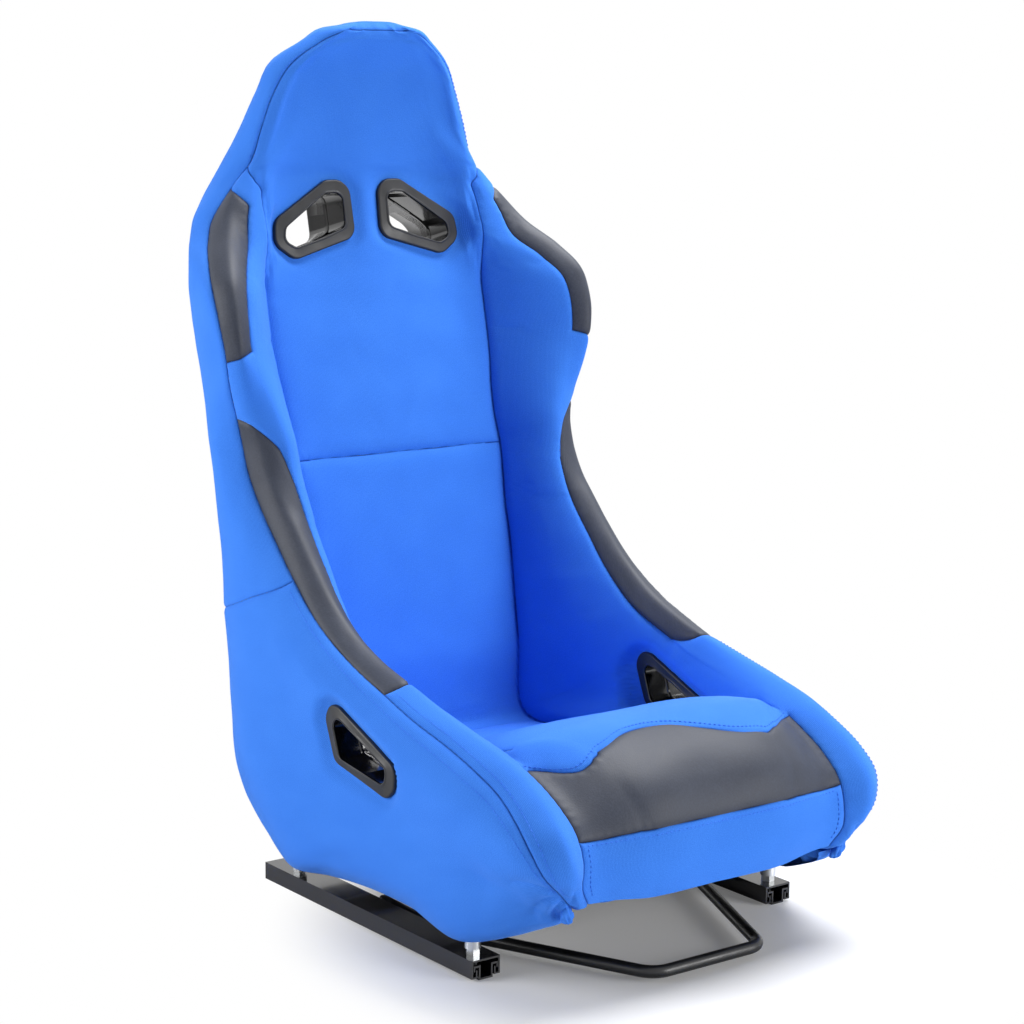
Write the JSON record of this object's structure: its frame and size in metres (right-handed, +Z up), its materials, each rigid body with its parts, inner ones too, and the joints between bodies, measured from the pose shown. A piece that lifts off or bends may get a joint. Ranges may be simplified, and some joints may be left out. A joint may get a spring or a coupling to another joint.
{
  "type": "racing seat",
  "caption": "Fixed-back bucket racing seat with padded wings, harness slots and a fabric cover, on two sliding floor rails with a lift-to-release bar.",
  "frame": {"origin": "on the floor, midway between the four floor bolt holes", "axes": "+X to the sitter's left, +Y to the rear (the sitter faces -Y), +Z up"},
  "size_m": [0.508, 0.7352, 0.941],
  "materials": {
    "blue_fabric": "woven polyester cloth",
    "grey_leatherette": "grained leatherette",
    "seat_foam": "moulded polyurethane foam",
    "black_plastic": "satin moulded plastic",
    "webbing": "rubberised elastic webbing",
    "frame_paint": "black powder coat on steel",
    "rail_paint": "glossy black paint on pressed steel",
    "bar_powder_coat": "satin black powder coat on steel",
    "zinc_plate": "bright zinc plate",
    "ball_steel": "polished bearing steel"
  },
  "bodies": {
    "floor_rails": {"floor_rail_left": "rail_paint", "floor_rail_right": "rail_paint", "latch_racks": "rail_paint"},
    "ball_cages": {"ball_cages": "zinc_plate", "bearing_balls": "ball_steel"},
    "seat": {"head_cover": "blue_fabric", "head_foam": "seat_foam", "insert_upper": "blue_fabric", "insert_lower": "blue_fabric", "back_foam": "seat_foam", "inner_wall_left": "blue_fabric", "inner_wall_right": "blue_fabric", "shoulder_foam_left": "seat_foam", "shoulder_foam_right": "seat_foam", "side_foam_left": "seat_foam", "side_foam_right": "seat_foam", "shoulder_patch_left": "grey_leatherette", "shoulder_patch_right": "grey_leatherette", "lumbar_patch_left": "grey_leatherette", "lumbar_patch_right": "grey_leatherette", "thigh_bolster_left": "blue_fabric", "thigh_bolster_right": "blue_fabric", "thigh_foam_left": "seat_foam", "thigh_foam_right": "seat_foam", "side_panel_upper_left": "blue_fabric", "side_panel_upper_right": "blue_fabric", "side_panel_lower_left": "blue_fabric", "side_panel_lower_right": "blue_fabric", "rear_panel": "blue_fabric", "cushion_cover": "blue_fabric", "cushion_patch": "grey_leatherette", "front_band": "blue_fabric", "cushion_foam": "seat_foam", "shoulder_bezel_fronts": "black_plastic", "shoulder_bezel_rears": "black_plastic", "hip_bezel_outers": "black_plastic", "hip_bezel_inners": "black_plastic", "frame_tube": "frame_paint", "frame_front_tube": "frame_paint", "back_cross_plates": "frame_paint", "back_webbing": "webbing", "base_rail_left": "frame_paint", "base_rail_right": "frame_paint", "base_cross_tubes": "frame_paint", "gusset_plates": "frame_paint", "seat_pan": "frame_paint", "threaded_bushes": "zinc_plate", "seat_bolts": "zinc_plate", "seat_nuts": "zinc_plate", "seat_spacers": "zinc_plate", "seat_rail_left": "rail_paint", "seat_rail_right": "rail_paint", "pivot_pins": "zinc_plate", "return_springs": "zinc_plate"},
    "release": {"release_bar": "bar_powder_coat", "latch_levers": "rail_paint"}
  },
  "joints": [
    {"name": "seat_slide", "type": "slide", "parent": "floor_rails", "child": "seat", "axis": [0, 1, 0], "range_m": [-0.09, 0.09]},
    {"name": "cage_slide", "type": "slide", "parent": "floor_rails", "child": "ball_cages", "axis": [0, 1, 0], "range_m": [-0.045, 0.045]},
    {"name": "release_lift", "type": "hinge", "parent": "seat", "child": "release", "pos_m": [0, 0.04, 0.013], "axis": [-1, 0, 0], "range_deg": [0, 12], "stiffness_Nm_per_rad": 3, "springref_deg": -34.38}
  ],
  "couplings": [
    {"joint": "cage_slide", "follows": "seat_slide", "ratio": 0.5}
  ]
}
